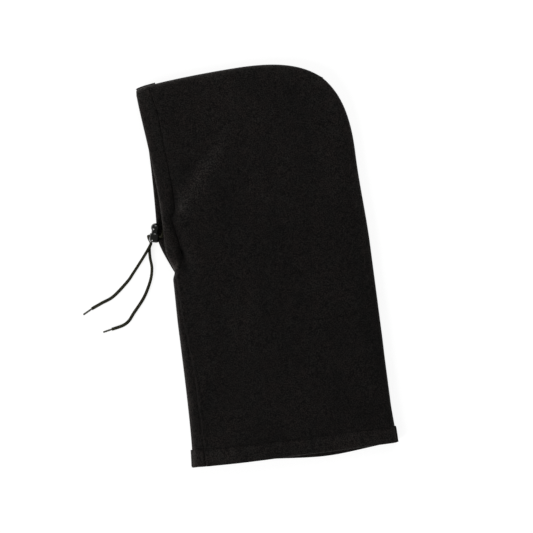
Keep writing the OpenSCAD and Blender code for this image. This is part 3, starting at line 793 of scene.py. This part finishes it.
def thread_material():
    mat, tree, shader, place = new_material("sewing_thread")
    twist = noise(tree, place, 2600, 2.0, 0.5)
    colour = ramp(tree, twist, [(0.3, grey(0.0012)), (0.7, (0.005, 0.0048, 0.0046))])
    finish(tree, shader, colour, Roughness=0.8, Specular_IOR_Level=0.15)
    bumped(tree, shader, twist, 0.0002, 0.6)
    return mat


def cord_material():
    mat, tree, shader, place = new_material("braided_cord")
    fibre = noise(tree, place, 1900, 3.0, 0.6)
    tone = noise(tree, place, 160, 1.0, 0.5)
    colour = ramp(tree, fibre, [(0.3, (0.010, 0.010, 0.0065)), (0.72, (0.046, 0.045, 0.031))])
    colour = times(tree, colour, ramp(tree, tone, [(0.3, grey(0.8)), (0.7, (1.2, 1.2, 1.15))]))
    finish(tree, shader, colour, Roughness=0.65, Specular_IOR_Level=0.02)
    bumped(tree, shader, fibre, 0.00015, 0.6)
    return mat


def plastic_material(name, base, roughness, grain, edge=0.0002):
    """Moulded plastic: a little orange peel, handling marks in the gloss, and edges rounded by the mould."""
    mat, tree, shader, place = new_material(name)
    peel = noise(tree, place, 900, 2.0, 0.5)
    marks = noise(tree, place, 320, 4.0, 0.7, (1, 0.25, 1))
    colour = mixed(tree, marks, tuple(0.8 * c for c in base), tuple(1.25 * c for c in base))
    finish(tree, shader, colour, IOR=1.49)
    gloss = ramp(tree, marks, [(0.35, grey(roughness)), (0.75, grey(roughness + grain))])
    tree.links.new(gloss, shader.inputs["Roughness"])
    made = bumped(tree, shader, peel, 0.00004, 0.35)
    rounded = node(tree, "ShaderNodeBevel", Radius=edge)
    rounded.samples = 6
    tree.links.new(rounded.outputs["Normal"], made.inputs["Normal"])
    return mat


def steel_material():
    mat, tree, shader, place = new_material("spring_wire")
    drawn = noise(tree, place, 1500, 3.0, 0.6, (1, 0.1, 1))
    colour = ramp(tree, drawn, [(0.3, (0.42, 0.42, 0.43)), (0.7, (0.6, 0.6, 0.61))])
    finish(tree, shader, colour, Metallic=1.0, Roughness=0.32)
    bumped(tree, shader, drawn, 0.00003, 0.4)
    return mat


FLEECE = fleece_material("black_fleece")
THREAD = thread_material()
CORD = cord_material()
LOCK_PLASTIC = plastic_material("glossy_black_plastic", (0.005, 0.005, 0.0044), 0.08, 0.08)
AGLET_PLASTIC = plastic_material("dark_grey_film", (0.06, 0.059, 0.047), 0.34, 0.18, 0.0001)
STEEL = steel_material()


def dress(obj, material):
    """Gives an object its look, in a single material slot."""
    obj.data.materials.clear()
    obj.data.materials.append(material)
    return obj


# -------- the cloth
LEFT = dress(cloth_side("left_side_cloth", True), FLEECE)
RIGHT = dress(cloth_side("right_side_cloth", False), FLEECE)


# -------- stitching
THREAD_R = 0.26
TACK_R = 0.3
TACK_ROWS = 15
STITCH_SHAPE = ((0.07, -0.85), (0.25, -0.12), (0.5, 0.0), (0.75, -0.12), (0.93, -0.85))  # share, lift


def tube(path, radius, sides=6):
    """Points and faces of a closed tube along a path."""
    path = np.asarray(path, float)
    along = unit(np.gradient(path, axis=0))
    side = np.cross(along, np.array([0.0, 0.0, 1.0]))
    weak = np.linalg.norm(side, axis=1) < 0.05
    side[weak] = np.cross(along[weak], np.array([1.0, 0.0, 0.0]))
    side = unit(side)
    up = np.cross(side, along)
    radius = np.broadcast_to(np.asarray(radius, float), (len(path),))
    angle = np.arange(sides) * 2 * math.pi / sides
    ring = np.cos(angle)[None, :, None] * side[:, None] + np.sin(angle)[None, :, None] * up[:, None]
    return tube_faces(path[:, None] + ring * radius[:, None, None])


def tube_faces(rings):
    """Joins rings of points, given as (rings, sides, 3), into a closed tube with flat ends."""
    n, sides = rings.shape[:2]
    index = np.arange(n * sides).reshape(n, sides)
    nxt = np.roll(index, -1, axis=1)
    quads = np.stack([index[:-1], nxt[:-1], nxt[1:], index[1:]], -1).reshape(-1, 4)
    return rings.reshape(-1, 3), quads.tolist() + [index[0, ::-1].tolist(), index[-1].tolist()]


def merged(name, shells):
    """One object made of several closed shells, each a pair of points and faces."""
    points, faces, base = [], [], 0
    for pts, fcs in shells:
        points.append(pts)
        faces += [[base + i for i in f] for f in fcs]
        base += len(pts)
    mesh = bpy.data.meshes.new(name)
    mesh.from_pydata((np.concatenate(points) * MM).tolist(), [], faces)
    mesh.validate()
    obj = link(name, mesh)
    shade_smooth(obj)
    return obj


def touch(tree, x, y, above=True):
    """Height of the cloth's outer face over or under a point of the table plane."""
    start = 0.1 if above else -0.1
    hit = tree.ray_cast(Vector((x * MM, y * MM, start)), Vector((0, 0, -1 if above else 1)))
    return None if hit[0] is None else hit[0].z / MM


def stitches(name, obj, line, above):
    """A lockstitch line: each stitch arches over the cloth and dives into it at both ends."""
    tree = BVHTree.FromObject(obj, bpy.context.evaluated_depsgraph_get())
    line = np.asarray(line, float)
    count = int(np.linalg.norm(np.diff(line, axis=0), axis=1).sum() / STITCH_PITCH)
    share, lift = np.array(STITCH_SHAPE).T
    lift = lift if above else -lift
    shells = []
    for i in range(count):
        pts = resampled(line, (i + share) / count)
        zs = [touch(tree, x, y, above) for x, y in pts]
        if None in zs:
            continue
        z = np.mean(zs[1:4]) * 0.6 + np.array(zs) * 0.4 + lift
        path = np.concatenate([pts, z[:, None]], 1)
        shells.append(tube(resampled(path, np.linspace(0, 1, 9)), THREAD_R))
    return merged(name, shells)


def casing_line(near):
    edge = resampled(front_edge(near), np.linspace(0, 1, 600))
    line = edge + inwards_from(edge) * stitch_distance(edge[:, 1])[:, None]
    return line[(edge[:, 1] > CHIN_Y + 13) & (edge[:, 1] < CROWN_Y - 13)]


def hem_line(near):
    s = np.linspace(0.025, 0.975, 200)
    edge = hem_edge(near, s)
    edge[:, 1] += hem_stitch(edge[:, 0])
    return edge


def sewn(kind, line):
    """The stitches along a line of each side of the garment."""
    return [dress(stitches(f"{side}_{kind}_stitches", cloth, line(near), near), THREAD)
            for side, cloth, near in (("left", LEFT, True), ("right", RIGHT, False))]


CASING_THREADS = sewn("casing", casing_line)
HEM_THREADS = sewn("hem", hem_line)


def bar_tack(name):
    """Satin stitches bound round the front seam where the casings end."""
    angle = np.radians(np.linspace(-60, 240, 15))
    edge = neck_edge(-1, 90)
    shells = []
    for i in range(TACK_ROWS):
        y = mix(TACK_LO[1], TACK_HI[1], i / (TACK_ROWS - 1)) - 1
        half_wide = 1.98 + 0.14 * math.sin(i * 2.3)
        x = np.interp(y, edge[:, 1], edge[:, 0]) + 2.1 - half_wide * np.sin(angle)
        path = np.stack([x, y + 0.12 * angle, SEAM_Z + 2.3 * np.cos(angle)], -1)
        shells.append(tube(path, TACK_R))
    return merged(name, shells)


TACK = dress(bar_tack("chin_tack_threads"), THREAD)

# -------- cord
CORD_R = 1.4
CORE_R = 1.05
BRAID_PITCH, BRAID_STEP = 10.0, 0.42
STRAND_AT, STRAND_WEAVE = 0.92, 0.13  # a strand's distance from the cord's middle, and how that varies
STRAND_WIDE, STRAND_THICK = 0.74, 0.38
JOINTS = {j["name"]: j for j in frame["joints"]}


def frames_along(path, step):
    """Evenly spaced points along a path, with two steady cross directions at each."""
    path = np.asarray(path, float)
    length = np.linalg.norm(np.diff(path, axis=0), axis=1).sum()
    n = max(4, int(length / step))
    pts = resampled(path, np.linspace(0, 1, n))
    for _ in range(3):
        pts[1:-1] = 0.5 * pts[1:-1] + 0.25 * (pts[:-2] + pts[2:])
    along = unit(np.gradient(pts, axis=0))
    a = np.zeros_like(pts)
    ref = np.array([0.31, 0.2, 0.93])
    for i, t in enumerate(along):
        ref = unit(ref - t * (ref @ t))
        a[i] = ref
    return pts, a, np.cross(along, a), np.linspace(0, length, n)


def relaxed(run):
    """A tail's thickness along its length: drawn thin through the lock, fuller towards its loose end."""
    return 1.05 + 0.2 * smooth((run - 14) / 16) + 0.15 * smooth((run - 50) / 40)


def braided(path, swell=np.ones_like):
    """Shells of a round braid: four strands wind each way and pass over and under one another."""
    pts, a, b, run = frames_along(path, BRAID_STEP)
    k = swell(run)
    shells = [tube(pts, CORE_R * k, 8)]
    section = np.arange(6) * math.pi / 3
    for way in (1, -1):
        r = (STRAND_AT + way * STRAND_WEAVE * np.cos(8 * math.pi * run / BRAID_PITCH)) * k
        for strand in range(4):
            turn = way * 2 * math.pi * run / BRAID_PITCH + strand * math.pi / 2
            out = np.cos(turn)[:, None] * a + np.sin(turn)[:, None] * b
            centre = pts + out * r[:, None]
            across = np.cross(out, unit(np.gradient(centre, axis=0)))
            ring = (STRAND_WIDE * np.cos(section)[None, :, None] * across[:, None]
                    + STRAND_THICK * np.sin(section)[None, :, None] * out[:, None])
            shells.append(tube_faces(centre[:, None] + ring * k[:, None, None]))
    return shells


def catmull(points, count):
    """A smooth path through points."""
    p = np.array(points, float)
    p = np.concatenate([[2 * p[0] - p[1]], p, [2 * p[-1] - p[-2]]])
    t = np.linspace(0, 1, count, endpoint=False)[:, None]
    out = [0.5 * (2 * b + (c - a) * t + (2 * a - 5 * b + 4 * c - d) * t**2 + (3 * b - a - 3 * c + d) * t**3)
           for a, b, c, d in zip(p[:-3], p[1:-2], p[2:-1], p[3:])]
    return np.concatenate(out + [p[-2:-1]])


# Cord lock: its centre and its own directions, as in the CAD. Pairs of values are for the left cord and
# the right one, and k picks one of them.
BARREL_LO, BARREL_HI = corners("cord_lock_barrel")
PULL = np.array(JOINTS["drawcord_pull"]["axis"])  # out along the cords
PRESS = -np.array(JOINTS["plunger_press"]["axis"])  # towards the ball
UP = np.array([0.0, 0.0, 1.0])
LOCK = np.array([-HALF_W - 13, CHIN_Y + 37.5, (BARREL_LO[2] + BARREL_HI[2]) / 2])
BARREL_R = (BARREL_HI[2] - BARREL_LO[2]) / 2
CORD_HOLE = 1.2  # height of the cords' hole along the lock
STRAND_GAPS = (CORD_R + 0.1, -CORD_R - 0.1)
SWINGS = [np.array(JOINTS[f"{side}_tail_swing"]["pos_m"]) / MM for side in ("left", "right")]
LOOPS = ((1.7, (-2.2, 4.2, 0.4)), (1.5, (-1.5, 4.2, -0.6)))  # how the cord turns from the lock to its swing
# Places that each tail passes on the table, from its swing point
BENDS = (
    [(0, -0.4), (-3.4, -5.5), (-10.2, -14.2), (-23.8, -30), (-33, -40.3), (-51.2, -55.1), (-65.5, -61),
     (-77.5, -65.9)],
    [(0, -0.4), (-2.6, -5.5), (-3.3, -16), (-2.8, -28.7), (-6.5, -42.7), (-16.2, -60.7), (-30.5, -77.5),
     (-37, -85.3), (-44.5, -89.8), (-57.4, -92.5)],
)
AGLET_R = 1.15
AGLETS = ((math.radians(5), 12.6), (0, 11.4))  # each one's bend from its cord, and its length
CRIMPS = (2.2, 5.6, 9.0)  # distances of its pressed rings from the cord


def in_lock(out, up, along):
    return LOCK + out * PULL + up * UP + along * PRESS


def tail_cord(k):
    """From inside the barrel, round to the swing point, and out over the table to the aglet."""
    inside = in_lock(-0.9, STRAND_GAPS[k], CORD_HOLE)
    mouth = in_lock(BARREL_R + 0.1, STRAND_GAPS[k], CORD_HOLE)
    end = SWINGS[k] + [0, 1.6, 0]
    lead_out, come_in = LOOPS[k]
    curl = bez([mouth, mouth + PULL * lead_out, end + come_in, end], np.linspace(0, 1, 24))
    flat = catmull(BENDS[k], 12)
    reach = np.linalg.norm(flat, axis=1)
    z = mix(SWINGS[k][2], relaxed(reach + 14) * CORD_R + 0.05, smooth((reach - 13) / 24))
    return np.concatenate([[inside], curl, np.concatenate([SWINGS[k][:2] + flat, z[:, None]], 1)])


def aglet(k):
    """A crimped film end on a cord: a snug tube with three pressed rings and a rounded tip."""
    cord = tail_cord(k)
    turn, length = AGLETS[k]
    along = cord[-1] - cord[-3]
    a = math.atan2(along[1], along[0]) + turn
    t = np.linspace(0, length, 60)
    crimped = 1 - 0.1 * sum(bump(t - at, 0.7) for at in CRIMPS)
    tip = np.sqrt(np.clip(1 - ((t - length + 1) / 1.02).clip(0) ** 2, 0.02, 1))
    start = np.array([cord[-1, 0], cord[-1, 1], AGLET_R + 0.1])
    return tube(start + t[:, None] * [math.cos(a), math.sin(a), 0], AGLET_R * crimped * tip, 16)


def face_path(near, share):
    """Points along the face edge, from the chin (0) to the brow (1), and the directions into the cloth."""
    edge = front_edge(near)
    edge = resampled(edge[edge[:, 1] >= CHIN_Y], np.linspace(0, 1, 400))
    at = np.clip(share, 0, 1) * 399
    return [np.stack([np.interp(at, np.arange(400), values[:, i]) for i in (0, 1)], -1)
            for values in (edge, inwards_from(edge))]


EYELETS = [sum(corners(n)) / 2 for n in ("left_eyelet", "right_eyelet")]
# Where the cords come out of the face opening, and the way there from their eyelets
GATES = [np.array([-HALF_W - 1.3, CHIN_Y + 45.5]), np.array([-HALF_W - 0.8, CHIN_Y + 39.6])]
MID_Z = (FAR_FACE_TOP + FACE_LOW) / 2
TUNNEL_Z = (FACE_LOW + FOLD_R, FOLD_R)  # height of the hidden cord in each casing
LEAD_TURN = 1.9  # radius of a lead's turn out of its eyelet
LEAD_REACH, LEAD_LIFT = (2.6, 1), (0.8, -1.1)  # how a lead leaves its gate, and comes to the lock


def lead_cord(k):
    """From an eyelet down into the gap, out under the upper casing's edge, and up into the barrel."""
    eye = EYELETS[k]
    side = (1, -1)[k] * LEAD_TURN * UP
    mouth = in_lock(-BARREL_R - 0.3, STRAND_GAPS[k], CORD_HOLE)
    end = in_lock(-1.2, STRAND_GAPS[k], CORD_HOLE)
    toward = unit(np.append(GATES[k] - eye[:2], 0))
    gate = np.append(GATES[k], MID_Z + 0.1)
    low = np.array([eye[0], eye[1], MID_Z])
    high = np.array([eye[0], eye[1], TUNNEL_Z[k]])
    drop = [mix(high, low + side, t) for t in (0, 0.5, 1)]
    turn = [low + side * (1 - math.sin(a)) + toward * LEAD_TURN * (1 - math.cos(a))
            for a in np.radians((22.5, 45, 67.5, 90))]
    leave, arrive = gate + toward * LEAD_REACH[k], mouth - unit(end - mouth) * 3 + UP * LEAD_LIFT[k]
    curve = bez([gate, leave, arrive, mouth], np.linspace(0, 1, 20))
    return np.concatenate([drop, turn, [gate - toward * 3], curve, [end]])


def tunnel_cord():
    """The hidden run of cord: up the upper casing, over the brow, and down the lower one."""
    share = np.linspace(0.28, 0.905, 50)
    near_xy, near_in = face_path(True, share)
    far_xy, far_in = face_path(False, share[::-1] - 0.02)
    near_run = np.concatenate([near_xy + near_in * 6, np.full((50, 1), TUNNEL_Z[0])], 1)
    far_run = np.concatenate([far_xy + far_in * 6, np.full((50, 1), TUNNEL_Z[1])], 1)
    t = np.radians(np.linspace(15, 165, 9))[:, None]
    turn = mix(near_run[-1], far_run[0], (1 - np.cos(t)) / 2) + np.sin(t) * [[0, 5.2, 0]]
    return np.concatenate([near_run, turn, far_run])


TAILS = [dress(merged(name, braided(tail_cord(k), relaxed)), CORD)
         for k, name in enumerate(("left_cord", "right_cord"))]
AGLET_ENDS = [dress(merged(name, [aglet(k)]), AGLET_PLASTIC)
              for k, name in enumerate(("left_film_end", "right_film_end"))]
LEADS = [dress(merged(name, braided(lead_cord(k))), CORD)
         for k, name in enumerate(("left_cord_lead", "right_cord_lead"))]
TUNNEL_PATH = frames_along(tunnel_cord(), 3.0)[0]
TUNNEL_CORD = dress(merged("casing_cord", [tube(TUNNEL_PATH, CORD_R, 10)]), CORD)

# -------- the spring under the plunger
COIL_R, WIRE_R, COIL_TURNS = 2.6, 0.25, 2.25
COIL_LOW, COIL_HIGH = -4.8, -2.8  # heights of the wire's ends along the lock


def coil():
    t = np.linspace(0, 1, 90)[:, None]
    a = 2 * math.pi * COIL_TURNS * t
    return in_lock(COIL_R * np.cos(a), COIL_R * np.sin(a), mix(COIL_LOW, COIL_HIGH, t))


SPRING = dress(merged("spring_coil", [tube(coil(), WIRE_R, 10)]), STEEL)

# -------- CAD parts that are shown as they are
for name, material in (
    ("cord_lock_barrel", LOCK_PLASTIC), ("cord_lock_plunger", LOCK_PLASTIC),
    ("left_eyelet", THREAD), ("right_eyelet", THREAD),
):
    part = frame["nodes"][name]
    part.data.materials.clear()
    part.data.materials.append(material)

# -------- what each piece stands for and rides on
def blend_between(obj):
    """Bakes an object's placement into its mesh."""
    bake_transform(obj)


for side, cloth in (("left", LEFT), ("right", RIGHT)):
    blend_between(cloth)
    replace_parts(cloth, f"{side}_hood_panel", f"{side}_neck_panel", f"{side}_face_casing", f"{side}_hem")
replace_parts(LEFT, "crown_seam_allowance", "chin_seam_allowance", "front_neck_seam", "back_neck_seam")
for k, side in enumerate(("left", "right")):
    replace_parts(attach(CASING_THREADS[k], "hood"), f"{side}_casing_stitching")
    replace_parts(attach(HEM_THREADS[k], "neck"), f"{side}_hem_stitching")
    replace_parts(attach(AGLET_ENDS[k], f"{side}_tail"), f"{side}_aglet")
    blend_between(LEADS[k])
    blend_between(TAILS[k])
    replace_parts(LEADS[k], "drawcord")
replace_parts(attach(TACK, "hood"), "chin_bar_tack")
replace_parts(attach(TUNNEL_CORD, "hood"), "drawcord")
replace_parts(TAILS[0], "cord_strands", "left_cord_tail")
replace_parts(TAILS[1], "right_cord_tail")
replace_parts(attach(SPRING, "cord_lock"), "cord_lock_spring")
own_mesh(SPRING)

# -------- stage, light and camera
CENTRE = Vector((-0.0047, 0.2236, 0.010))  # metres, as all of the stage is
FLOOR_HALF, FLOOR_Z = 4, -0.0004
KEY_DIRECTION = Vector((-0.736, -0.458, 0.48))
TOP_DIRECTION = Vector((0.35, 1.5, 1.15))
FRAME_WIDTH = 0.613  # width of the picture at the hood
LEAN = math.radians(7.5)  # how far the hood leans in the picture


def white_floor():
    """A floor that the camera sees as plain white, and that lights the hood as pale card would."""
    h, z = FLOOR_HALF, FLOOR_Z
    mesh = bpy.data.meshes.new("floor")
    mesh.from_pydata([(-h, -h, z), (h, -h, z), (h, h, z), (-h, h, z)], [], [(0, 1, 2, 3)])
    mat, tree, shader, place = new_material("pale_floor")
    pale = ramp(tree, noise(tree, place, 3.0), [(0.0, grey(0.90)), (1.0, grey(0.93))])
    seen = node(tree, "ShaderNodeLightPath").outputs["Is Camera Ray"]
    finish(tree, shader, mixed(tree, seen, pale, grey(0.23)), Roughness=0.9, Emission_Color=(1, 1, 1, 1),
           Emission_Strength=0.85)
    mesh.materials.append(mat)
    return link("floor", mesh)


def softbox(name, energy, size, at):
    """A round area light that faces the middle of the hood."""
    data = bpy.data.lights.new(name, "AREA")
    data.energy, data.shape, data.size = energy, "DISK", size
    lamp = link(name, data)
    lamp.location = CENTRE + at
    lamp.rotation_euler = (-at).to_track_quat("-Z", "Y").to_euler()


def white_world(strength):
    world = bpy.data.worlds.new("studio")
    bpy.context.scene.world = world
    world.use_nodes = True
    background = world.node_tree.nodes["Background"]
    background.inputs["Color"].default_value = (1, 1, 1, 1)
    background.inputs["Strength"].default_value = strength


def overhead_camera():
    data = bpy.data.cameras.new("camera")
    data.lens, data.sensor_width, data.clip_start = 80, 36, 0.01
    camera = link("camera", data)
    camera.location = CENTRE + Vector((0, 0, FRAME_WIDTH * data.lens / data.sensor_width))
    camera.rotation_euler = (0, 0, -LEAN)
    bpy.context.scene.camera = camera


white_floor()
softbox("key", 46, 1.25, KEY_DIRECTION * 2.5)
softbox("top", 16, 1.4, TOP_DIRECTION)
white_world(0.22)
overhead_camera()
bpy.context.scene.view_settings.view_transform = "Standard"
